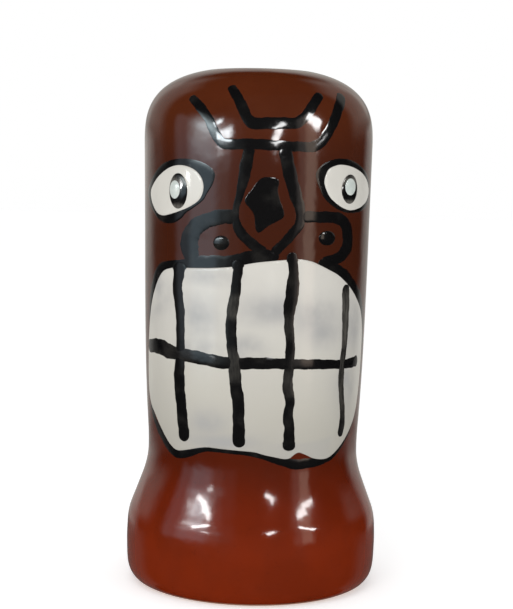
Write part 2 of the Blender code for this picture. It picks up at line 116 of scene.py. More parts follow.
# Brush strokes as (degrees, height, width): first those on the glaze, by the CAD piece that
# each stands for, then those on the white, where the tooth lines cross the bite line.
# Their round ends reach to the first and the last point.
BROW_AND_NOSE_LINES = {
    "upper_brow_line": [
        (-21.5, 163.4, 2.4), (-18, 160.9, 2.8), (-14.8, 158.1, 3), (-12.4, 155.2, 3.1),
        (-10.4, 152.8, 3.2), (-7.5, 151.6, 3.3), (-2, 151.6, 3.3), (5, 151.8, 3.3),
        (12, 151.9, 3.1), (16, 152.9, 3), (20, 155.4, 2.9), (25.5, 159.3, 2.9), (30, 161.7, 2.5),
    ],
    "lower_brow_line": [
        (-43.6, 160, 1.9), (-38.8, 158, 2.6), (-34, 155.4, 2.7), (-30, 152.4, 2.7),
        (-26.8, 148.8, 2.9), (-24, 146.2, 2.9), (-20, 145, 3), (-12, 145.1, 3), (-4.5, 145.1, 3),
        (5, 144.8, 2.8), (15, 144.7, 2.8), (21.5, 144.8, 2.9), (26, 146, 3.1), (29.8, 148.7, 3.1),
        (33.2, 151.6, 3.2), (36.4, 154.8, 3.3), (40, 157.9, 3.3), (43.8, 160.7, 3.2),
        (46.2, 162.2, 2.6),
    ],
    "nose_line_left": [
        (-9, 144.5, 3.3), (-10, 141, 3.3), (-10.8, 138, 3.5), (-11.6, 134.8, 3.2),
        (-12.7, 131.4, 2.6), (-13.9, 128.3, 2.1), (-15, 125.6, 1.9), (-15.4, 123, 2),
        (-14.8, 120.8, 2.4), (-13.4, 118.5, 2.8), (-10.8, 116.4, 2.9), (-7.4, 114.5, 2.9),
        (-3.8, 112.8, 2.9), (-0.4, 111.3, 2.9),
    ],
    "nose_line_right": [
        (7.5, 144.5, 3.8), (8.6, 140.8, 3.8), (10, 137.1, 3.9), (11.7, 133, 3.8),
        (13.8, 129.1, 3.6), (15.6, 125.7, 3.1), (16.4, 123, 2.9), (15.4, 120.3, 2.9),
        (12.4, 117.8, 2.8), (9.2, 115.4, 2.7), (5.8, 113.2, 2.7), (2.8, 111.3, 2.7),
    ],
    "nostril_line_left": [
        (-14.6, 122.6, 4), (-22, 122.5, 4.1), (-28, 121.5, 4.3), (-32.8, 120.3, 4.6),
        (-36.8, 118.3, 5.4), (-39.2, 115.8, 6), (-39.6, 113, 6.3), (-38.4, 110.5, 5.6),
        (-35, 108.3, 4.4),
    ],
    "nostril_line_right": [
        (16.4, 123, 3.2), (24, 123, 3.1), (31.4, 123, 3.2), (38, 122.7, 3.3), (42.6, 121.4, 3.9),
        (45.4, 118.9, 4.7), (46.4, 116, 4.9), (45.5, 113.2, 4.7), (41.8, 111, 3.8), (36, 109.6, 3),
        (28.6, 109, 2.6),
    ],
}
LIP_LINES = {
    "upper_lip_line_left": [
        (-74.6, 88, 1.2), (-72.4, 94.4, 2), (-69.4, 98.5, 2.8), (-65.6, 102.2, 3.2),
        (-61, 105.1, 3.1), (-54.8, 106.4, 2.8), (-47.2, 106.8, 3), (-40, 107.2, 3.4),
        (-33.2, 107.8, 4.2), (-25.6, 108.1, 4.2), (-18.6, 108.2, 4), (-12.8, 109.3, 3.7),
        (-7, 110.2, 3.7), (-1.4, 110.6, 3.7), (3, 110.6, 3.4), (6, 110.5, 2.6),
    ],
    "upper_lip_line_right": [
        (26.5, 108.7, 2.2), (32.2, 107.5, 3.6), (38.2, 106, 4.1), (43.6, 104.2, 4.6),
        (48.8, 101.5, 5.1), (54.2, 98.6, 5.6), (60, 95.3, 5.7), (64.3, 91.8, 4.9), (68, 87.4, 3.4),
        (70.5, 80, 1.8),
    ],
    "lower_lip_line": [
        (-76, 60.5, 1.2), (-69.8, 55.6, 2.2), (-64, 52.6, 2.7), (-57, 49.9, 3.1),
        (-50.4, 47.6, 3.2), (-44.6, 46.9, 3), (-39.6, 47.2, 2.6), (-35.2, 48.1, 2.1),
        (-30.6, 49, 1.6), (-26.2, 49.5, 1.4), (-19.6, 49.3, 1.3), (-10.8, 49, 1.3),
        (-4.2, 48.6, 1.6), (1.2, 47.7, 1.7), (6, 46.8, 2), (11, 45.9, 2.5), (15.4, 45.3, 2.9),
        (19.6, 45.2, 2.9), (24.8, 45.4, 2.8), (30.2, 45.7, 2.5), (35.6, 46.4, 2.2),
        (41.2, 47.7, 1.9), (46.8, 49.6, 1.6), (53, 52.2, 1.5), (59, 55.3, 1.4), (64, 58.6, 1.2),
    ],
}
BITE = [
    (-75.5, 79.6, 4), (-64, 80.2, 4.4), (-57.6, 79.9, 4.6), (-51.4, 79.2, 4.4), (-46, 78.8, 3.8),
    (-40, 78.6, 3.8), (-34, 78.3, 3.7), (-27.4, 77.7, 3.5), (-21, 77.2, 3.5), (-14, 77.1, 3.4),
    (-2, 77.2, 3.3), (9.6, 77.1, 3), (22.6, 76.8, 2.9), (34.6, 76.4, 2.7), (45.6, 76.1, 2.7),
    (53.8, 76.2, 3.1), (61, 76.4, 3.5),
]
TOOTH_LINES = [
    [
        (-44.6, 107.8, 5), (-45.4, 104.7, 4.6), (-46, 102.1, 4), (-46.2, 99, 3.9),
        (-45.3, 95.8, 3.6), (-44.2, 92.7, 3.4), (-43.7, 88, 3.4), (-43.4, 83.2, 3.5),
        (-43.4, 79.3, 3.7), (-43.8, 75.1, 3.9), (-44, 71.1, 4.1), (-43.6, 67.2, 4.1),
        (-42.6, 63.2, 4.1), (-41.8, 58.4, 4.2), (-41, 54.6, 4.2), (-40.4, 51, 3.6),
    ],
    [
        (-13.4, 109.2, 3), (-13.6, 106, 3), (-14, 103, 2.9), (-14.4, 99.9, 2.9), (-15, 96.7, 2.9),
        (-15.8, 93.6, 3), (-16.2, 89.8, 3), (-16, 85.8, 3.1), (-15.2, 81.1, 3.1),
        (-14.2, 77.4, 3.2), (-13.8, 73.3, 3.2), (-13.2, 69.3, 3.2), (-12.1, 65.6, 3.3),
        (-11.8, 60.9, 3.3), (-11.6, 56.1, 3.4), (-11.2, 50.6, 3.1),
    ],
    [
        (12.2, 111.9, 2), (12.6, 109.2, 2.9), (13.3, 106.3, 3.2), (13.2, 103.3, 3.5),
        (12.8, 99.9, 4), (12.2, 97.3, 3.7), (11.6, 94.9, 3.6), (11.2, 92.9, 3.2),
        (11.2, 91.2, 2.7), (11.5, 87.7, 2.8), (12.3, 82.9, 2.8), (12, 78.9, 2.8),
        (11.7, 75.1, 2.7), (11.2, 72, 2.8), (11.2, 69.4, 2.9), (12.3, 66.9, 2.8),
        (12.5, 64.5, 2.7), (12, 62, 2.9), (12, 59.4, 3), (12.7, 56.9, 3.1), (12.6, 54.3, 3.1),
        (12.8, 49.6, 3),
    ],
    [
        (44.6, 101.6, 2.6), (45.1, 99.9, 3.3), (45.4, 96.6, 3.5), (45.4, 92.8, 3.3),
        (45.4, 88.6, 3.2), (45.2, 84.4, 2.9), (44.6, 80.5, 2.9), (43.6, 76.8, 2.6),
        (43, 72.6, 2.6), (43.4, 67.8, 2.5), (44.6, 63.8, 2.6), (45.4, 60.5, 2.9),
        (45.8, 57.2, 3.2), (44.8, 54.3, 3.1), (43.8, 52.6, 2.3),
    ],
]

# Filled shapes, as the points of an outline, (degrees, height), joined by a smooth curve
MOUTH_PANEL = [
    (-47.8, 106), (-52.4, 105.7), (-57.6, 104.7), (-62, 102.3), (-66.4, 98.5), (-70.4, 94),
    (-73.2, 88.8), (-75.2, 83), (-77, 74.7), (-77.6, 66.3), (-74.6, 60.9), (-68.6, 57.5),
    (-62.4, 54), (-56, 50.7), (-50.4, 48.5), (-45.4, 47.7), (-38.4, 48.5), (-32.2, 49.5),
    (-26.8, 50), (-20, 49.8), (-10.8, 49.5), (-4.2, 49.2), (1, 48.3), (6, 47.6), (10.4, 47),
    (13.4, 47.2), (15.4, 48.2), (18, 48.9), (21.8, 48), (25.8, 46.8), (30.8, 46.2), (35.6, 46.4),
    (41.2, 47.9), (48.6, 50.6), (56.8, 54.2), (63, 58.4), (66.5, 64.5), (68, 72.7), (68.4, 81),
    (67, 87.6), (63, 92.8), (55.8, 97.3), (49.6, 100.5), (44.6, 102.7), (39.2, 104.8), (33, 106.5),
    (27.4, 108), (22.8, 109.1), (16, 109.8), (8.8, 109.5), (-4.2, 108.6), (-13.6, 107.4),
    (-18.6, 106.9), (-26.6, 106.5), (-34.2, 106.3),
]
NOSE_DIAMOND = [
    (-4.8, 133.9), (-2.6, 134.9), (0.6, 135.1), (3.8, 134.8), (5.2, 133.5), (4.6, 131.1),
    (5.6, 128.4), (7, 126), (8, 124), (7.4, 122.5), (4, 121.2), (0.2, 119.8), (-3.8, 117.8),
    (-5.6, 118.9), (-6, 121.5), (-6.8, 123.7), (-8.8, 125.5), (-11, 127.3), (-10.2, 129.1),
    (-8, 130.9), (-6.2, 132.6),
]
EYE_WHITES = {
    "left": [
        (-58.4, 136.2), (-52.8, 137.7), (-47, 138.4), (-41.4, 138.1), (-36.6, 136.9), (-33.4, 135),
        (-31.8, 132.6), (-32, 130), (-34.2, 127.5), (-39.2, 125.5), (-45.6, 124), (-51.8, 123),
        (-58, 122.4), (-63.4, 123.1), (-67.8, 125.2), (-70.6, 127.6), (-71.2, 130.2), (-68, 132.4),
        (-63.6, 134.4),
    ],
    "right": [
        (29.4, 136.2), (31, 138), (34.2, 139), (38.8, 139.6), (45.6, 139.3), (52.8, 138.3),
        (60.2, 136.7), (66.4, 134.2), (69, 131.3), (65.6, 128.5), (57.4, 126.3), (48.6, 125.3),
        (42.8, 125.7), (37.6, 127), (32.8, 129), (30, 131.4), (28.6, 133.9),
    ],
}
EYE_RIMS = {
    "left": [
        (-65.4, 136.5), (-58.6, 138.9), (-51.4, 140.1), (-44.6, 140.5), (-37.8, 140.2),
        (-32.2, 139.3), (-28.2, 138), (-25.8, 136.3), (-25.8, 134.2), (-27.2, 132), (-29.6, 129.7),
        (-31.8, 127.5), (-36.8, 125.2), (-41.6, 123.4), (-44.8, 121.5), (-50.4, 120), (-56.6, 120),
        (-63.2, 121.4), (-69.6, 124.2), (-75.2, 127.2), (-77, 130), (-72, 133.3),
    ],
    "right": [
        (23.6, 136.6), (26, 138.9), (30.4, 140.5), (36.6, 141.5), (43.8, 141.5), (50.8, 140.6),
        (58, 139), (65.2, 137), (70.6, 134), (72.6, 130.8), (68.6, 127.4), (58.8, 125.1),
        (48.8, 124.4), (42.2, 124.7), (36.4, 125.8), (31.6, 127.5), (28.2, 129.4), (26, 131.8),
        (24.2, 134.2),
    ],
}

# Ovals: (degrees, height, half width, half height), the halves in millimetres
PUPILS = {"left": (-46.4, 130.3, 4, 5.6), "right": (45.7, 132, 4.3, 4.7)}
PUPIL_DOTS = {"left": (-47.8, 130.7, 2.3, 2.9), "right": (45.2, 132.7, 2.7, 2.7)}
NOSTRIL_DOTS = {"left": (-22.2, 114.4, 2.7, 2.3), "right": (31.6, 116.4, 3.4, 2.3)}



# --- curves

def smooth_curve(points, steps, closed=False):
    """Points along a Catmull-Rom curve through the given ones, steps to each stretch."""
    given = np.asarray(points, dtype=float)
    if closed:
        padded = np.vstack([given[-1:], given, given[:2]])
    else:
        padded = np.vstack([2 * given[0] - given[1], given, 2 * given[-1] - given[-2]])
    t = np.linspace(0.0, 1.0, steps, endpoint=False)[:, None]
    stretches = []
    for before, start, end, after in zip(padded, padded[1:], padded[2:], padded[3:]):
        stretches.append(0.5 * (
            2 * start
            + (end - before) * t
            + (2 * before - 5 * start + 4 * end - after) * t ** 2
            + (3 * start - before - 3 * end + after) * t ** 3
        ))
    if not closed:
        stretches.append(given[-1:])
    return np.vstack(stretches)


def running_length(points):
    """Distance along a line of points, from its first point to each of them."""
    steps = np.linalg.norm(np.diff(points[:, :2], axis=0), axis=1)
    return np.concatenate([[0.0], np.cumsum(steps)])


def read_at(points, lengths, places):
    """The line of points, read at the given distances along it."""
    columns = [np.interp(places, lengths, column) for column in points.T]
    return np.stack(columns, axis=-1)


def softened(values, passes):
    """The values with their corners taken off, the first and the last left in place."""
    values = np.array(values, dtype=float)
    for _ in range(passes):
        values[1:-1] = (values[:-2] + 2.0 * values[1:-1] + values[2:]) / 4.0
    return values


def eased(share):
    """From 0 to 1 with no kink at either end."""
    share = np.clip(share, 0.0, 1.0)
    return share ** 3 * (share * (6.0 * share - 15.0) + 10.0)


def wobble(places, seed, wavelength):
    """A smooth unevenness of about -1 to 1 along a line, as a hand leaves it."""
    random = np.random.default_rng(seed)
    total = np.zeros(np.shape(places))
    for octave in (1.0, 0.53, 0.29):
        phase = random.uniform(0.0, math.tau)
        total += octave * np.sin(places * math.tau / (wavelength * octave) + phase)
    return total / 1.6


# --- the outside of the body

def outer_profile():
    """The outside from the table to the crest, as evenly spaced rows of (height, radius)."""
    side = smooth_curve(SIDE_POINTS, 24)
    crest_angle = math.acos((CREST_RADIUS / HEAD_RADIUS) ** (CROWN_POWER / 2.0))
    angles = np.linspace(0.0, crest_angle, 90)[1:]
    power = 2.0 / CROWN_POWER
    crown = np.stack([
        SHOULDER_HEIGHT + CROWN_RISE * np.sin(angles) ** power,
        HEAD_RADIUS * np.cos(angles) ** power,
    ], axis=1)
    rough = np.vstack([side, crown])
    lengths = running_length(rough)
    places = np.linspace(0.0, lengths[-1], round(lengths[-1] / PROFILE_STEP))
    return softened(read_at(rough, lengths, places), PROFILE_PASSES)


OUTSIDE = outer_profile()
OUTSIDE_ARC = running_length(OUTSIDE)
RELIEF_CURVE = smooth_curve(FACE_RELIEF, 8)
OUTSIDE_RELIEF = softened(
    np.interp(OUTSIDE[:, 0], RELIEF_CURVE[:, 0], RELIEF_CURVE[:, 1]), PROFILE_PASSES)


def relief_fade(angle):
    """The share of the face's relief that there is at an angle round from its middle."""
    return eased((RELIEF_END - np.degrees(np.abs(angle))) / (RELIEF_END - RELIEF_FULL))


def casting_unevenness(angle, arc):
    """The slight waves that a plaster mould and a poured glaze leave, never outwards."""
    return (0.04 * np.sin(3 * angle + arc / 31 + 1.0)
            + 0.03 * np.sin(5 * angle - arc / 17 + 2.0)
            + 0.02 * np.sin(2 * angle + arc / 9) - 0.11)


def outside_points(round_head, arc):
    """Places on the outside for distances round the head and up the side."""
    angle = np.asarray(round_head, dtype=float) / HEAD_RADIUS
    angle = (angle + math.pi) % math.tau - math.pi
    height = np.interp(arc, OUTSIDE_ARC, OUTSIDE[:, 0])
    radius = np.interp(arc, OUTSIDE_ARC, OUTSIDE[:, 1])
    radius = radius + np.interp(arc, OUTSIDE_ARC, OUTSIDE_RELIEF) * relief_fade(angle)
    radius = radius + casting_unevenness(angle, arc)
    return np.stack([radius * np.sin(angle), -radius * np.cos(angle), height], axis=-1)


def wrap(flat, lift):
    """Places of the flat drawing, laid round the body and lifted off it."""
    round_head, arc = flat[..., 0], flat[..., 1]
    nudge = 0.1
    along = outside_points(round_head + nudge, arc) - outside_points(round_head - nudge, arc)
    up = outside_points(round_head, arc + nudge) - outside_points(round_head, arc - nudge)
    normal = np.cross(along, up)
    normal /= np.linalg.norm(normal, axis=-1, keepdims=True)
    return outside_points(round_head, arc) + normal * np.asarray(lift)[..., None]


def flatten(points):
    """Rows of (degrees, height, ...) as (distance round the head, distance up it, ...)."""
    rows = np.array(points, dtype=float)
    rows[:, 0] = np.radians(rows[:, 0]) * HEAD_RADIUS
    rows[:, 1] = np.interp(rows[:, 1], OUTSIDE[:, 0], OUTSIDE_ARC)
    return rows


# --- making objects

def in_one_row(values, joined):
    """Values on rings of points, ring after ring, and then the middles of both ends."""
    row = values.reshape(-1, *values.shape[2:])
    if joined:
        return row
    return np.concatenate([row, values[:1].mean(axis=1), values[-1:].mean(axis=1)])


def enclosed_volume(points, quads):
    """Six times the volume inside the quads: negative where they face inwards."""
    a, b, c, d = (points[quads[:, corner]] for corner in range(4))
    return np.einsum("ij,ij->", a, np.cross(b, c) + np.cross(c, d))


def new_piece(name, points, faces, material, marks, nodes):
    """A piece in place of some CAD nodes, from points in millimetres.

    If no nodes are given, it is the one that the piece's name starts with.
    Marks are what the material reads at each point: a name and an array of numbers or,
    with three columns, of vectors.
    """
    mesh = bpy.data.meshes.new(name)
    mesh.from_pydata((points * MM).tolist(), [], faces)
    mesh.shade_smooth()
    mesh.materials.append(material)
    for mark, values in marks.items():
        kind, field = ("FLOAT_VECTOR", "vector") if values.ndim == 2 else ("FLOAT", "value")
        attribute = mesh.attributes.new(mark, kind, "POINT")
        attribute.data.foreach_set(field, values.astype(np.float32).ravel())
    piece = bpy.data.objects.new(name, mesh)
    bpy.context.scene.collection.objects.link(piece)
    nodes = nodes or [name.rsplit("_", 1)[0]]
    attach(piece, "root")
    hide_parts(*nodes)


def solid(name, rings, material, marks=None, nodes=None, joined=False):
    """A closed skin over rings of points, with marks for the same rings.

    It is closed in the middles of the first and the last ring, or by joining the two.
    """
    rows, columns = rings.shape[:2]
    here = np.arange(rows * columns).reshape(rows, columns)
    there = np.roll(here, -1, axis=1)
    next_here, next_there = np.roll(here, -1, axis=0), np.roll(there, -1, axis=0)
    quads = np.stack([here, there, next_there, next_here], axis=-1)
    ends = []
    if not joined:
        quads = quads[:-1]
        middle = rows * columns
        ends += [[b, a, middle] for a, b in zip(here[0].tolist(), there[0].tolist())]
        ends += [[a, b, middle + 1] for a, b in zip(here[-1].tolist(), there[-1].tolist())]
    quads = quads.reshape(-1, 4)
    points = in_one_row(rings, joined)
    faces = quads.tolist() + ends
    if enclosed_volume(points, quads) < 0:
        faces = [face[::-1] for face in faces]
    marks = {mark: in_one_row(values, joined) for mark, values in (marks or {}).items()}
    new_piece(name, points, faces, material, marks, nodes)


# --- the pieces

def revolved(height, radius, angles, stand=0.0):
    """A ring round the axis, standing out at the face by some millimetres."""
    radius = radius + stand * relief_fade(angles)
    return np.stack([radius * np.sin(angles), -radius * np.cos(angles),
                     np.full_like(angles, height)], axis=-1)


def arc_points(centre, radius, start, end, count):
    """Points (height, radius) on an arc: 0 degrees points up, 90 away from the axis."""
    turns = np.radians(np.linspace(start, end, count))
    return [(centre[0] + radius * math.cos(t), centre[1] + radius * math.sin(t))
            for t in turns]


def underside_profile():
    """The recess under the floor and the foot ring, as (height, radius) from the middle."""
    corner, corner_radius, foot_round = 1.0, 28.6, 0.8
    profile = [(FOOT_RECESS, radius) for radius in np.linspace(MIDDLE_RING, 28.0, 12)]
    profile += arc_points((FOOT_RECESS - corner, corner_radius), corner, 10.0, 70.0, 4)
    profile += arc_points((foot_round, FOOT_INNER_RADIUS + foot_round), foot_round,
                          270.0, 180.0, 5)
    flat = np.linspace(FOOT_INNER_RADIUS + 2.0, FOOT_OUTER_RADIUS - 0.6, 4)
    return profile + [(0.0, radius) for radius in flat]


def lip_profile():
    """The half-round lip, from the crest over to the inside, as (height, radius)."""
    tangent = OUTSIDE[-1] - OUTSIDE[-5]
    tangent /= np.linalg.norm(tangent)
    out = np.array([-tangent[1], tangent[0]])
    centre = OUTSIDE[-1] - out * LIP_RADIUS
    centre[0] = LIP_HEIGHT - LIP_RADIUS
    turns = np.linspace(0.0, math.pi, 16)[1:-1]
    return [centre + LIP_RADIUS * (out * math.cos(turn) + tangent * math.sin(turn))
            for turn in turns]


def inside_profile():
    """The inside of the wall, from the lip down to the corner of the floor."""
    steps = np.gradient(OUTSIDE, axis=0)
    normals = np.stack([-steps[:, 1], steps[:, 0]], axis=1)
    normals /= np.linalg.norm(normals, axis=1)[:, None]
    inside = (OUTSIDE - normals * WALL)[::-1]
    return inside[inside[:, 0] > FLOOR_HEIGHT + FLOOR_CORNER]


def glazed_body(material):
    """The cast vessel from the underside, round the outside and the lip, to the floor."""
    angles = np.linspace(-math.pi, math.pi, SEGMENTS, endpoint=False)
    rings = [revolved(*place, angles) for place in underside_profile()]
    whole = OUTSIDE_ARC[-1]
    # The first rows lie close together, round the edge of the foot
    arcs = np.concatenate([[0.15, 0.5], np.linspace(1.0, whole, round(whole / ROW_STEP))])
    rings += [outside_points(angles * HEAD_RADIUS, np.full_like(angles, arc)) for arc in arcs]
    rings += [revolved(*place, angles) for place in lip_profile()]
    inside = inside_profile()
    lengths = running_length(inside)
    places = np.linspace(0.0, lengths[-1], INSIDE_ROWS)
    for height, radius in read_at(inside, lengths, places):
        stand = np.interp(height, RELIEF_CURVE[:, 0], RELIEF_CURVE[:, 1])
        rings.append(revolved(height, radius, angles, stand))
    corner_points = [inside[-1], (FLOOR_HEIGHT + 1.6, 35.0), (FLOOR_HEIGHT, FLOOR_RADIUS)]
    rings += [revolved(*place, angles) for place in smooth_curve(corner_points, 5)[1:]]
    for radius in np.linspace(FLOOR_RADIUS, MIDDLE_RING, 12)[1:]:
        rings.append(revolved(FLOOR_HEIGHT, radius, angles))
    solid("mug_body_glazed", np.array(rings), material)


# Across a stroke, from its right edge to its left edge, and how high its dome is there
ACROSS = np.sin(np.linspace(-math.pi / 2, math.pi / 2, 13))
DOME = 1.0 - np.abs(ACROSS) ** DOME_POWER
# The turns of its round ends where they have rows, from the blunt tip to the full width
END_TURNS = np.linspace(0.16, math.pi / 2, 9)


def stroke_rows(whole, start_round, end_round):
    """Where a stroke has its rows, and what share of the width its round ends leave."""
    width, ahead = np.sin(END_TURNS), 1.0 - np.cos(END_TURNS)
    start = start_round * ahead
    end = whole - end_round * ahead[::-1]
    middle = np.linspace(start[-1], end[0], max(4, round(whole / STROKE_STEP)))[1:-1]
    taper = np.concatenate([width, np.ones_like(middle), width[::-1]])
    return np.concatenate([start, middle, end]), taper


def sideways(stations):
    """The step of 1 mm to a stroke's left at each of its rows, in the flat drawing."""
    # The body's girth at each row, as a share of the head's
    girth = np.interp(stations[:, 1], OUTSIDE_ARC, OUTSIDE[:, 1]) / HEAD_RADIUS
    heading = np.gradient(stations[:, :2], axis=0)
    heading[:, 0] *= girth
    heading /= np.linalg.norm(heading, axis=1)[:, None]
    return np.stack([-heading[:, 1] / girth, heading[:, 0]], axis=1)


def dryness(places, whole, dry_and_sheen):
    """How sparse the brush left the enamel at each row of a stroke."""
    thin_and_painted_light = np.zeros_like(places)
    for first, last, amount in dry_and_sheen:
        middle, reach = (first + last) / 2 * whole, (last - first) / 2 * whole
        swell = eased(1.6 - 1.3 * np.abs(places - middle) / reach)
        thin_and_painted_light = np.maximum(thin_and_painted_light, amount * swell)
    return thin_and_painted_light


def coat_marks(thin_and_painted_light, aside, along, number):
    """What the enamel's looks read: its sparseness and painted shade and reflection, and where
    that is on the brush's way.
    """
    brush = np.stack(np.broadcast_arrays(aside, along, float(number)), axis=-1)
    return {"thin_and_painted_light": np.broadcast_to(thin_and_painted_light, brush.shape[:2]), "brush": brush}


def stroke(name, points, material, seed, base=0.0, sink=SINK, dry_and_sheen=(), nodes=None):
    """A brush stroke: a domed ribbon with round ends, laid on whatever is `base` high.

    The list of places where the brush ran out gives (start, end, how sparse it left the enamel) as
    shares of the length.
    """
    line = smooth_curve(flatten(points), CURVE_STEPS)
    lengths = running_length(line)
    whole = lengths[-1]
    places, taper = stroke_rows(whole, line[0, 2] / 2, line[-1, 2] / 2)
    stations = read_at(line, lengths, places)
    half = BRUSH_SPREAD * stations[:, 2] / 2
    fullness = np.clip(half / half.max(), 0.25, 1.0)
    # What is let into the ground doesn't show, so the ribbon is wider by as much
    buried = sink / (sink + STROKE_HEIGHT * fullness)
    half = half / (1.0 - buried) ** (1.0 / DOME_POWER) * taper
    # Both edges and the load waver, each in its own way
    unsteady = np.clip(np.minimum(places, whole - places) / STEADY_END, 0.0, 1.0)
    right = half * (1.0 + UNEVEN_WIDTH * unsteady * wobble(places, seed, 7.0))
    left = half * (1.0 + UNEVEN_WIDTH * unsteady * wobble(places, seed + 50, 5.5))
    reach = np.where(ACROSS < 0.0, right[:, None], left[:, None]) * ACROSS
    flat = stations[:, None, :2] + sideways(stations)[:, None, :] * reach[..., None]
    load = STROKE_HEIGHT * (1.0 + UNEVEN_LOAD * unsteady * wobble(places, seed + 90, 11.0))
    lift = base - sink + (sink + (load * (fullness * taper))[:, None]) * DOME
    thin_and_painted_light = dryness(places, whole, dry_and_sheen)
    marks = coat_marks(thin_and_painted_light[:, None], reach, places[:, None], seed * 7.3)
    solid(name, wrap(flat, lift), material, marks, nodes)


def outline_loop(points):
    """An outline's smooth curve, closed, as evenly spaced places of the flat drawing."""
    line = smooth_curve(flatten(points), CURVE_STEPS, closed=True)
    line = np.vstack([line, line[:1]])
    lengths = running_length(line)
    count = round(lengths[-1] / EDGE_STEP)
    places = np.linspace(0.0, lengths[-1], count, endpoint=False)
    return read_at(line, lengths, places)


def oval_loop(oval):
    """An oval as places of the flat drawing."""
    degrees, height, half_width, half_height = oval
    turn = np.linspace(0.0, math.tau, OVAL_POINTS, endpoint=False)
    ring = np.stack([half_width * np.cos(turn), half_height * np.sin(turn)], axis=1)
    return flatten([(degrees, height)]) + ring


def filled(name, loop, material, base=0.0, height=PATCH_HEIGHT, edge=0.9, dome=0.0,
           step=1.0, surface=None):
    """A filled shape with a rounded edge, `edge` wide, and a middle higher by `dome`.

    Surface, where given, takes places of the flat drawing and returns what to add to the
    height there and how sparse the coat is, with any painted shade and reflection.
    """
    centre = loop.mean(axis=0)
    spokes = loop - centre
    reach = np.linalg.norm(spokes, axis=1)
    edge_rows = edge * (1.0 - np.cos(np.linspace(0.0, math.pi / 2, EDGE_ROWS)))
    edge_rows = edge_rows[edge_rows < 0.6 * reach.min()]
    count = max(4, round(reach.mean() / step))
    inmost = max(0.02, CENTRE_RING / reach.mean())
    outer = 1.0 - edge_rows[:, None] / reach
    inner = 1.0 - np.linspace(0.0, 1.0, count + 1)[1:, None]
    # The rows from the edge to the centre, as shares of each spoke
    top = np.concatenate([outer, inmost + (outer[-1] - inmost) * inner])
    depth = (1.0 - top) * reach
    rise = np.sqrt(1.0 - (1.0 - np.clip(depth / edge, 0.0, 1.0)) ** 2)
    lift = base - SINK + (SINK + height) * rise + dome * (1.0 - top ** 2)
    flat = centre + spokes * top[..., None]
    thin_and_painted_light = np.zeros_like(lift)
    if surface:
        added, thin_and_painted_light = surface(flat)
        lift = lift + added * rise
    under = np.linspace(inmost, 1.0, count)[:-1, None] * np.ones_like(reach)
    flat = np.concatenate([centre + spokes * under[..., None], flat])
    lift = np.concatenate([np.full(under.shape, base - SINK), lift])
    thin_and_painted_light = np.concatenate([np.zeros_like(under), thin_and_painted_light])
    solid(name, wrap(flat, lift), material, coat_marks(thin_and_painted_light, flat[..., 0], flat[..., 1], 0))


def polar_loop(points, centre, turns):
    """An outline's distance from a centre at each of the given turns round it."""
    line = smooth_curve(flatten(points), CURVE_STEPS, closed=True) - centre
    turn = np.arctan2(line[:, 1], line[:, 0])
    reach = np.linalg.norm(line, axis=1)
    return np.interp(turns, *zip(*sorted(zip(turn, reach))), period=math.tau)


def rim(name, inner_points, outer_points, material, seed):
    """The black line round an eye, as thick as the brush left it on each side."""
    centre = flatten(inner_points).mean(axis=0)
    turns = np.linspace(-math.pi, math.pi, RIM_POINTS, endpoint=False)
    around = np.stack([np.cos(turns), np.sin(turns)], axis=1)
    inner = polar_loop(inner_points, centre, turns) - RIM_OVERLAP
    outer = polar_loop(outer_points, centre, turns)
    reach = inner[:, None] + (outer - inner)[:, None] * (ACROSS + 1.0) / 2.0
    flat = centre + around[:, None, :] * reach[..., None]
    lift = -SINK + (SINK + STROKE_HEIGHT) * DOME
    marks = coat_marks(0.0, flat[..., 0], flat[..., 1], seed)
    solid(name, wrap(flat, lift), material, marks, joined=True)


# --- the painting

# Grey spots on the white, partly a thinner coat and partly painted shade:
# (degrees, height, reach round, reach up), mm
THIN_AND_SHADED_SPOTS = [
    (-33, 91, 7.5, 6.5), (3, 93.5, 11, 5), (26, 91.5, 9, 6), (-62, 97, 7, 8), (52, 88, 8, 9),
    (-28, 104, 9, 3), (-8, 82, 6, 4), (48, 70, 7, 9), (-27, 58, 6, 4), (-33, 81, 8, 3.5),
    (30, 87, 7, 5), (-20, 52, 12, 2.5),
]
# The lower edge of the second white coat, a low curved step: (degrees, height)
COAT_STEP = [
    (-9.6, 55), (-3.8, 53.9), (2.4, 52.8), (8.2, 52.1), (17.4, 52), (24, 52.1), (33, 52.8),
    (42, 54.4),
]


def mouth_coat(flat):
    """The unevenness of the mouth's white: a second coat, low waves, and grey spots that are
    partly a thinner coat and partly painted shade.
    """
    step = smooth_curve(flatten(COAT_STEP), 10)
    round_head, arc = flat[..., 0], flat[..., 1]
    line = np.interp(round_head, step[:, 0], step[:, 1])
    above = eased((arc - line) / 1.4 + 0.5)
    nearby = eased((round_head - step[0, 0]) / 6.0) * eased((step[-1, 0] - round_head) / 6.0)
    second_coat = 0.10 * (above - 1.0) * nearby
    waves = 0.01 * np.sin(round_head / 3.1 + 1.3) * np.sin(arc / 3.7 + 0.4)
    thin_and_painted_light = np.zeros_like(arc)
    for degrees, height, reach_round, reach_up in THIN_AND_SHADED_SPOTS:
        spot = flatten([(degrees, height)])[0]
        away = ((round_head - spot[0]) / reach_round) ** 2 + ((arc - spot[1]) / reach_up) ** 2
        thin_and_painted_light = np.maximum(thin_and_painted_light, np.exp(-away))
    return second_coat + waves, np.maximum(thin_and_painted_light, 0.35 * (1.0 - above) * nearby)


def paint_lines(lines, black, first_seed):
    """Strokes on the glaze, from a table of them."""
    for seed, (name, points) in enumerate(lines.items(), start=first_seed):
        stroke(f"{name}_brushed", points, black, seed)


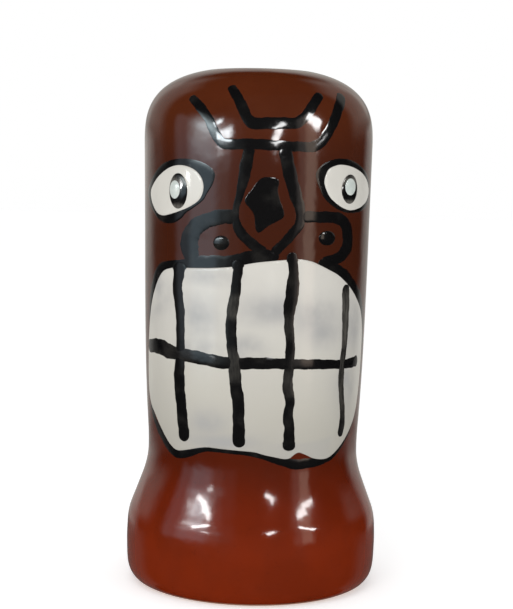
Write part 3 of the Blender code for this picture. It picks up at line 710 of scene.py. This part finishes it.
def paint_mouth(white, black):
    """The white panel, the bite line and the tooth lines on it, and the lips round it."""
    filled("mouth_panel_enamel", outline_loop(MOUTH_PANEL), white, surface=mouth_coat,
           step=0.8)
    over_white = PATCH_HEIGHT
    stroke("bite_line_brushed", BITE, black, 3, over_white, WHITE_SINK,
           [(0.14, 0.34, 0.12)])
    dry_places = [
        [(0.05, 0.55, 0.03)],
        [(0.18, 0.32, 0.35), (0.46, 0.66, 0.30)],
        [(0.30, 0.45, 0.15), (0.58, 0.74, 0.22)],
        [(0.02, 0.44, 0.80), (0.40, 0.85, 0.45)],
    ]
    for number, (points, dry_and_sheen) in enumerate(zip(TOOTH_LINES, dry_places), start=1):
        nodes = [f"tooth_line_upper_{number}", f"tooth_line_lower_{number}"]
        stroke(f"tooth_line_{number}_brushed", points, black, 10 + number, over_white,
               WHITE_SINK, dry_and_sheen, nodes)
    paint_lines(LIP_LINES, black, 21)


def paint_brow_and_nose(black):
    """The brow and nose lines, and what is painted solid black about the nose."""
    paint_lines(BROW_AND_NOSE_LINES, black, 31)
    filled("nose_diamond_brushed", outline_loop(NOSE_DIAMOND), black, height=STROKE_HEIGHT)
    for side, oval in NOSTRIL_DOTS.items():
        filled(f"nostril_dot_{side}_brushed", oval_loop(oval), black, height=0.15, dome=0.3)


def pupil_coat_and_reflection(flat):
    """A pupil's black: greyed in a band near the top as a painted reflection, and sparse at the
    foot, where white shows.
    """
    arc = flat[..., 1]
    share = (arc - arc.min()) / (arc.max() - arc.min())
    band = 1.4 * np.exp(-((share - 0.77) / 0.11) ** 2)
    foot = 1.5 * eased((0.20 - share) / 0.18)
    return np.zeros_like(arc), np.maximum(band, foot)


def paint_eyes(white, black, pale):
    """For each eye the black line round it, the white, the pupil and the dot on it."""
    for seed, (side, inner) in enumerate(EYE_WHITES.items(), start=41):
        rim(f"eye_outline_{side}_brushed", inner, EYE_RIMS[side], black, seed)
        filled(f"eye_white_{side}_enamel", outline_loop(inner), white, dome=0.15)
        filled(f"pupil_{side}_enamel", oval_loop(PUPILS[side]), black, PATCH_HEIGHT + 0.05,
               height=0.2, edge=1.3, dome=PUPIL_DOME, surface=pupil_coat_and_reflection)
        filled(f"pupil_dot_{side}_enamel", oval_loop(PUPIL_DOTS[side]), pale,
               PATCH_HEIGHT + 0.1 + PUPIL_DOME, height=0.2, dome=0.35)


# --- materials

def set_inputs(tree, node, inputs):
    """Gives inputs of a node their values, or links them to outputs of other nodes."""
    for key, value in inputs.items():
        if isinstance(value, bpy.types.NodeSocket):
            tree.links.new(value, node.inputs[key])
        else:
            node.inputs[key].default_value = value


def add_node(tree, kind, inputs=None, **settings):
    """A new node with its settings and its inputs."""
    node = tree.nodes.new(kind)
    for key, value in settings.items():
        setattr(node, key, value)
    set_inputs(tree, node, inputs or {})
    return node


def new_material(name):
    """A new finish for a slot: material, tree, shader and the object's own coordinates."""
    material = bpy.data.materials.new(name)
    material["slot"] = name
    material.use_nodes = True
    tree = material.node_tree
    shader = tree.nodes["Principled BSDF"]
    places = add_node(tree, "ShaderNodeTexCoord").outputs["Object"]
    return material, tree, shader, places


def noise(tree, places, scale, detail=2.0, roughness=0.5):
    """Clouds from 0 to 1."""
    node = add_node(tree, "ShaderNodeTexNoise", {
        "Vector": places, "Scale": scale, "Detail": detail, "Roughness": roughness})
    return node.outputs["Fac"]


def ranged(tree, value, low, high, to_low=0.0, to_high=1.0):
    """A value brought from one range to another, with soft ends."""
    node = add_node(tree, "ShaderNodeMapRange", {
        "Value": value, "From Min": low, "From Max": high,
        "To Min": to_low, "To Max": to_high}, interpolation_type="SMOOTHSTEP")
    return node.outputs["Result"]


def calculated(tree, operation, first, second):
    """A sum, which is held within 0 and 1, or any other calculation, which isn't."""
    node = add_node(tree, "ShaderNodeMath", {0: first, 1: second}, operation=operation,
                    use_clamp=operation == "ADD")
    return node.outputs[0]


def blended(tree, share, first, second):
    """One colour going over into another."""
    node = add_node(tree, "ShaderNodeMix", {0: share, 6: first, 7: second}, data_type="RGBA")
    return node.outputs[2]


def finish(tree, shader, colour, roughness, height, distance):
    """Gives a gloss its colour and roughness, and a bump of so many metres."""
    bump = add_node(tree, "ShaderNodeBump", {"Height": height, "Distance": distance})
    set_inputs(tree, shader, {"Base Color": colour, "Roughness": roughness, "IOR": 1.5,
                              "Normal": bump.outputs["Normal"]})


# The glaze's colour by height in metres: lighter and amber over the crown, deep brown
# on the wall, and lighter and red over the flare of the base
GLAZE_TONES = [
    (0.018, (0.190, 0.0200, 0.0040)), (0.030, (0.155, 0.0160, 0.0034)),
    (0.045, (0.090, 0.0112, 0.0030)), (0.060, (0.066, 0.0112, 0.0038)),
    (0.115, (0.051, 0.0122, 0.0053)), (0.140, (0.056, 0.0134, 0.0064)),
    (0.155, (0.082, 0.0185, 0.0064)), (0.168, (0.100, 0.0200, 0.0060)),
]
# The heights between which the bare clay of the foot goes over into glaze, in metres
BARE_EDGE = (0.0006, 0.0011)


def toned(tree, height, tones):
    """A colour read by height from a list of (height, colour) stops."""
    top = 0.17
    share = calculated(tree, "DIVIDE", height, top)
    node = add_node(tree, "ShaderNodeValToRGB", {"Fac": share})
    ramp = node.color_ramp
    while len(ramp.elements) < len(tones):
        ramp.elements.new(1.0)
    for element, (place, colour) in zip(ramp.elements, tones):
        element.position = place / top
        element.color = (*colour, 1.0)
    return node.outputs["Color"]


def brown_glaze():
    """A clear brown glaze over red clay, with a bare foot ring."""
    material, tree, shader, places = new_material("brown_glaze")
    height = add_node(tree, "ShaderNodeSeparateXYZ", {0: places}).outputs["Z"]
    colour = toned(tree, height, GLAZE_TONES)
    mottle = ranged(tree, noise(tree, places, 70.0, 3.0), 0.35, 0.7)
    colour = blended(tree, calculated(tree, "MULTIPLY", mottle, 0.2), colour,
                     (0.048, 0.0085, 0.0035, 1))
    specks = ranged(tree, noise(tree, places, 900.0), 0.62, 0.78, 0.0, 0.22)
    colour = blended(tree, specks, colour, (0.040, 0.009, 0.005, 1))
    grains = noise(tree, places, 2500.0, 3.0)
    clay = blended(tree, grains, (0.30, 0.15, 0.085, 1), (0.46, 0.26, 0.16, 1))
    colour = blended(tree, ranged(tree, height, *BARE_EDGE), clay, colour)
    roughness = ranged(tree, noise(tree, places, 120.0), 0.3, 0.8, 0.085, 0.125)
    roughness = calculated(tree, "MAXIMUM", roughness,
                           ranged(tree, height, *BARE_EDGE, 0.8, 0.0))
    finish(tree, shader, colour, roughness, noise(tree, places, 140.0), 0.00010)
    return material


# The white's colour by height in metres: darker and duller towards the jaw, which is painted shade
SHADED_CREAM_TONES = [
    (0.045, (0.445, 0.425, 0.375)), (0.055, (0.480, 0.460, 0.405)),
    (0.067, (0.540, 0.520, 0.460)), (0.083, (0.600, 0.580, 0.525)),
    (0.100, (0.640, 0.620, 0.570)), (0.120, (0.670, 0.650, 0.595)),
]


def white_enamel():
    """An opaque cream white, darker towards the jaw as painted shade, and greyer and cooler in
    spots of thinner coat and of painted shade.
    """
    material, tree, shader, places = new_material("white_enamel")
    thin_and_painted_light = add_node(tree, "ShaderNodeAttribute", attribute_name="thin_and_painted_light").outputs["Fac"]
    height = add_node(tree, "ShaderNodeSeparateXYZ", {0: places}).outputs["Z"]
    # Darker towards the jaw: painted shade
    cream = toned(tree, height, SHADED_CREAM_TONES)
    mottle = ranged(tree, noise(tree, places, 60.0, 3.0), 0.35, 0.75, 0.0, 0.25)
    cream = blended(tree, mottle, cream, (0.52, 0.50, 0.46, 1))
    cloud = ranged(tree, noise(tree, places, 75.0, 3.0, 0.55), 0.2, 0.62)
    # Greyer where the coat is thinner and where shade is painted in
    share = calculated(tree, "MULTIPLY", thin_and_painted_light, cloud)
    share = calculated(tree, "MULTIPLY", share, 0.85)
    colour = blended(tree, share, cream, (0.385, 0.38, 0.375, 1))
    finish(tree, shader, colour, 0.14, noise(tree, places, 260.0), 0.00005)
    return material


def black_enamel():
    """A glossy brushed black, washed out along the hairs where the brush ran out, and greyed in a
    band near each pupil's top as a painted reflection.
    """
    material, tree, shader, places = new_material("black_enamel")
    thin_and_painted_light = add_node(tree, "ShaderNodeAttribute", attribute_name="thin_and_painted_light").outputs["Fac"]
    brush = add_node(tree, "ShaderNodeAttribute", attribute_name="brush").outputs["Vector"]
    hairs = add_node(tree, "ShaderNodeVectorMath", {0: brush, 1: (1.1, 0.22, 1.0)},
                     operation="MULTIPLY").outputs[0]
    streaks = ranged(tree, noise(tree, hairs, 1.0, 3.0, 0.6), 0.25, 0.65, 0.25, 1.0)
    # Greyer along the brush's sparse hairs, and in a band near each pupil's top as a painted
    # reflection
    dry_and_sheen = calculated(tree, "MULTIPLY", thin_and_painted_light, streaks)
    clouds = ranged(tree, noise(tree, places, 160.0, 3.0), 0.5, 0.8, 0.0, 0.12)
    share = calculated(tree, "ADD", dry_and_sheen, clouds)
    colour = blended(tree, share, (0.0050, 0.0048, 0.0050, 1), (0.105, 0.098, 0.086, 1))
    roughness = ranged(tree, share, 0.0, 1.0, 0.10, 0.22)
    finish(tree, shader, colour, roughness, noise(tree, places, 260.0), 0.00003)
    return material


def pale_enamel():
    """A thick pale bead of glass enamel with a faint blue-green."""
    material, tree, shader, places = new_material("pale_enamel")
    cloud = ranged(tree, noise(tree, places, 600.0), 0.3, 0.7)
    colour = blended(tree, cloud, (0.63, 0.67, 0.63, 1), (0.55, 0.60, 0.57, 1))
    finish(tree, shader, colour, 0.06, cloud, 0.00003)
    return material


# --- the studio

# The camera, in metres and degrees: it stands a little to the viewer's left of the face
CAMERA_AZIMUTH = -5.0
CAMERA_DISTANCE = 0.5025
CAMERA_HEIGHT = 0.1279
CAMERA_ASIDE = 0.0004
CAMERA_DOWN = 3.98
CAMERA_ROLL = 1.2
CAMERA_LENS = 88.67
SENSOR = 36.0


def add_camera():
    """The photograph's view: a little from the left, and slightly tilted."""
    data = bpy.data.cameras.new("camera")
    data.sensor_fit = "VERTICAL"
    data.sensor_height = SENSOR
    data.lens = CAMERA_LENS
    data.clip_start = 0.01
    camera = bpy.data.objects.new("camera", data)
    turn = math.radians(CAMERA_AZIMUTH)
    ahead = Vector((-math.sin(turn), math.cos(turn), 0.0))
    right = Vector((math.cos(turn), math.sin(turn), 0.0))
    place = -ahead * CAMERA_DISTANCE + right * CAMERA_ASIDE
    place.z = CAMERA_HEIGHT
    camera.matrix_world = (
        Matrix.Translation(place)
        @ Matrix.Rotation(turn, 4, "Z")
        @ Matrix.Rotation(math.radians(90.0 - CAMERA_DOWN), 4, "X")
        @ Matrix.Rotation(math.radians(CAMERA_ROLL), 4, "Z")
    )
    bpy.context.scene.collection.objects.link(camera)
    bpy.context.scene.camera = camera


def direction(azimuth, elevation):
    """Where a reflection points: degrees round from the camera's side, and up."""
    turn = math.radians(azimuth + CAMERA_AZIMUTH)
    rise = math.radians(elevation)
    return Vector((math.sin(turn) * math.cos(rise), -math.cos(turn) * math.cos(rise),
                   math.sin(rise)))


# Each group of lamps shows on one part of the mug, in metres and degrees: the radius and
# the height of that part, the height that they shine at, how far off they stand, and how
# far to each side of that they shine, so that no other part shows them
ON_CROWN = (0.038, 0.150, 0.150, 0.3, 9.5)
ON_BASE = (0.0415, 0.025, 0.012, 0.5, 9.5)
ON_EYE = (0.038, 0.132, 0.132, 0.05, 4.5)

WHITE = (1.0, 1.0, 1.0)
BLUISH = (0.88, 0.96, 1.0)

# The lamps, each in straight pieces end to end: (part, azimuth of the place that shows it,
# from and to (azimuth, elevation) as that place reflects it, pieces, thickness in degrees,
# radiance, colour)
LAMPS = {
    "crown_left": (ON_CROWN, -17, (-27, 13), (-42, 9), 2, 6.5, 36, BLUISH),
    "crown_left_small": (ON_CROWN, -20, (-44, 18.5), (-37, 21), 1, 4, 30, BLUISH),
    "crown_centre": (ON_CROWN, 10, (25.5, 20.5), (14, 7.5), 3, 6, 28, WHITE),
    "crown_right": (ON_CROWN, 30, (52, 26.5), (65, 17), 2, 10, 36, WHITE),
    "crown_right_thin": (ON_CROWN, 32, (72, 10), (59, 6), 1, 1.2, 18, WHITE),
    "base_left": (ON_BASE, -24, (-38, 18.5), (-57, 9.5), 3, 3.8, 34, WHITE),
    "base_left_far": (ON_BASE, -32, (-56, 15), (-69, 13.5), 2, 3.4, 6, WHITE),
    "base_left_small": (ON_BASE, -22, (-46, 4.8), (-38, 3.8), 1, 1.8, 24, WHITE),
    "base_centre": (ON_BASE, 10, (22.5, 12.4), (13.5, 7), 2, 4, 34, WHITE),
    "base_right": (ON_BASE, 27, (45, 17.5), (63, 9), 3, 3.6, 34, WHITE),
    "eye_left": (ON_EYE, -43, (-72, -0.5), (-64, 6), 1, 6.5, 130, WHITE),
    "eye_right": (ON_EYE, 41, (51, 0), (59, 3), 1, 5, 110, WHITE),
}


def add_light(data, matrix):
    """A light that the camera doesn't see."""
    light = bpy.data.objects.new(data.name, data)
    light.matrix_world = matrix
    light.visible_camera = False
    bpy.context.scene.collection.objects.link(light)
    return light


def lamp(name, first, last, aim, width, spread, radiance, colour):
    """One straight piece of a lamp, from one place to another, which only gloss shows.

    It shines at `aim`, and to no more than `spread` degrees from it.
    """
    length = (last - first).length
    along = (last - first).normalized()
    middle = (first + last) / 2.0
    back = middle - aim
    back = (back - along * back.dot(along)).normalized()
    half = math.radians(spread)
    # A lamp with a narrow spread gathers its light into it
    gathered = math.tan(half) / (math.tan(half) - half)
    data = bpy.data.lights.new(name, "AREA")
    data.shape = "RECTANGLE"
    data.size, data.size_y = length, width
    data.spread = 2.0 * half
    data.color = colour
    data.energy = radiance * math.pi * length * width / gathered
    axes = Matrix((along, back.cross(along), back)).transposed().to_4x4()
    light = add_light(data, Matrix.Translation(middle) @ axes)
    light.visible_diffuse = False


def front_place(azimuth, radius, height):
    """A place in the front of the mug, in metres, round from the camera's side."""
    place = direction(azimuth, 0.0) * radius
    place.z = height
    return place


def add_lamps():
    """All the lamps that the gloss shows."""
    for name, row in LAMPS.items():
        part, azimuth, start, end, pieces, thickness, radiance, colour = row
        radius, height, aim_height, distance, spread = part
        place = front_place(azimuth, radius, height)
        aim = front_place(azimuth, radius, aim_height)
        width = 2.0 * distance * math.tan(math.radians(thickness) / 2.0)
        stops = np.linspace(start, end, pieces + 1).tolist()
        ends = [place + direction(*stop) * distance for stop in stops]
        for number, (first, last) in enumerate(zip(ends, ends[1:]), start=1):
            lamp(f"{name}_{number}", first, last, aim, width, spread, radiance, colour)


def add_soft_light():
    """A broad soft light from the front, above: it isn't seen in the gloss."""
    data = bpy.data.lights.new("soft_light", "AREA")
    data.shape = "DISK"
    data.size = 0.34
    data.energy = 0.72
    place, face = Vector((-0.11, -0.39, 0.38)), Vector((0.0, 0.0, 0.11))
    turn = (face - place).to_track_quat("-Z", "Y").to_matrix().to_4x4()
    light = add_light(data, Matrix.Translation(place) @ turn)
    light.visible_glossy = False


# How bright the sky is for what it lights, and for the camera
ROOM_LIGHT = 0.62
BACKDROP_LIGHT = 1.0

# What the gloss shows of the room besides the lamps: the window, the door, the room in
# front and the pale backdrop behind. Each is a pane with soft edges, in degrees round from
# the camera's side and up: (from, to, lowest, highest, softness round, softness up, colour)
ROOM_PANES = [
    (-30, 75, -11, 60, 8, 4, (0.028, 0.027, 0.026)),
    (-88, -71, -6, 20, 5, 2.5, (0.45, 0.52, 0.60)),
    (-71, -41, -6, 4, 5, 2.5, (0.98, 1.27, 1.46)),
    (-71, -41, 4, 8, 5, 2.5, (1.60, 1.92, 2.15)),
    (-67.5, -41, 8, 20, 9, 7, (4.30, 5.20, 5.50)),
    (-60, -43, 11, 18, 7, 4, (4.60, 5.50, 5.90)),
    (-41, -29, -6, 22, 4, 2.5, (0.36, 0.43, 0.45)),
    (-41, -27, 2.5, 9, 4, 2, (0.50, 0.60, 0.64)),
    (-29, -16, -6, 22, 5, 2.5, (0.12, 0.14, 0.15)),
    (40, 48, -6, 26, 3, 2, (0.60, 0.52, 0.48)),
    (48, 60, -6, 26, 2.5, 2, (1.90, 1.52, 1.25)),
    (-190, -132, -10, 3, 10, 2, (0.50, 0.49, 0.46)),
    (-155, -110, 2, 52, 9, 8, (0.46, 0.45, 0.42)),
    (-190, -150, 2, 36, 9, 7, (0.50, 0.49, 0.46)),
    (136, 190, -10, 6, 8, 2, (0.50, 0.49, 0.46)),
    (106, 155, 8, 52, 8, 8, (0.50, 0.49, 0.45)),
    (150, 190, 8, 36, 8, 7, (0.55, 0.54, 0.50)),
    (-190, -115, -40, -10, 10, 2, (0.13, 0.125, 0.12)),
    (115, 190, -40, -10, 10, 2, (0.13, 0.125, 0.12)),
]


def pane_cover(tree, value, low, high, softness):
    """1 between two limits and 0 beyond them, with soft edges."""
    rising = ranged(tree, value, low - softness, low + softness)
    falling = ranged(tree, value, high - softness, high + softness, 1.0, 0.0)
    return calculated(tree, "MULTIPLY", rising, falling)


def add_world():
    """Plain light all round, and the room's panes for the gloss alone."""
    world = bpy.data.worlds.new("studio")
    bpy.context.scene.world = world
    world.cycles.sampling_method = "NONE"
    world.use_nodes = True
    tree = world.node_tree
    tree.nodes.clear()
    facing = add_node(tree, "ShaderNodeTexCoord").outputs["Generated"]
    turned = add_node(tree, "ShaderNodeVectorRotate", {
        "Vector": facing, "Angle": -math.radians(CAMERA_AZIMUTH)}, rotation_type="Z_AXIS")
    parts = add_node(tree, "ShaderNodeSeparateXYZ", {0: turned.outputs[0]}).outputs
    towards = calculated(tree, "MULTIPLY", parts["Y"], -1.0)
    azimuth = calculated(tree, "ARCTAN2", parts["X"], towards)
    azimuth = calculated(tree, "MULTIPLY", azimuth, math.degrees(1.0))
    elevation = calculated(tree, "ARCSINE", parts["Z"], 0.0)
    elevation = calculated(tree, "MULTIPLY", elevation, math.degrees(1.0))
    total = (0.0, 0.0, 0.0)
    for start, end, low, high, soft_round, soft_up, colour in ROOM_PANES:
        cover = calculated(tree, "MULTIPLY",
                           pane_cover(tree, azimuth, start, end, soft_round),
                           pane_cover(tree, elevation, low, high, soft_up))
        shown = add_node(tree, "ShaderNodeVectorMath", {0: colour, "Scale": cover},
                         operation="SCALE").outputs[0]
        total = add_node(tree, "ShaderNodeVectorMath", {0: total, 1: shown},
                         operation="ADD").outputs[0]
    ray = add_node(tree, "ShaderNodeLightPath").outputs
    plain = add_node(tree, "ShaderNodeMix", {
        0: ray["Is Camera Ray"], 2: ROOM_LIGHT, 3: BACKDROP_LIGHT}).outputs[0]
    colour = blended(tree, ray["Is Glossy Ray"], plain, total)
    background = add_node(tree, "ShaderNodeBackground", {"Color": colour})
    output = add_node(tree, "ShaderNodeOutputWorld")
    tree.links.new(background.outputs[0], output.inputs["Surface"])


def add_floor():
    """A pale matt floor that fills the picture below the horizon."""
    mesh = bpy.data.meshes.new("floor")
    half = 12.0            # metres
    mesh.from_pydata([(-half, -half, 0), (half, -half, 0), (half, half, 0), (-half, half, 0)],
                     [], [(0, 1, 2, 3)])
    material, tree, shader, places = new_material("pale_floor")
    grain = noise(tree, places, 300.0)
    colour = blended(tree, grain, (0.97, 0.97, 0.97, 1), (1.0, 1.0, 1.0, 1))
    set_inputs(tree, shader, {
        "Base Color": colour, "Roughness": 0.9, "Specular IOR Level": 0.1,
        "Emission Color": (1, 1, 1, 1), "Emission Strength": 0.42})
    mesh.materials.append(material)
    floor = bpy.data.objects.new("floor", mesh)
    floor.visible_glossy = False
    bpy.context.scene.collection.objects.link(floor)


# --- the whole scene

bpy.context.scene.view_settings.view_transform = "Standard"
add_camera()
add_world()
add_lamps()
add_soft_light()
add_floor()
glaze, white, black, pale = brown_glaze(), white_enamel(), black_enamel(), pale_enamel()
glazed_body(glaze)
paint_mouth(white, black)
paint_brow_and_nose(black)
paint_eyes(white, black, pale)
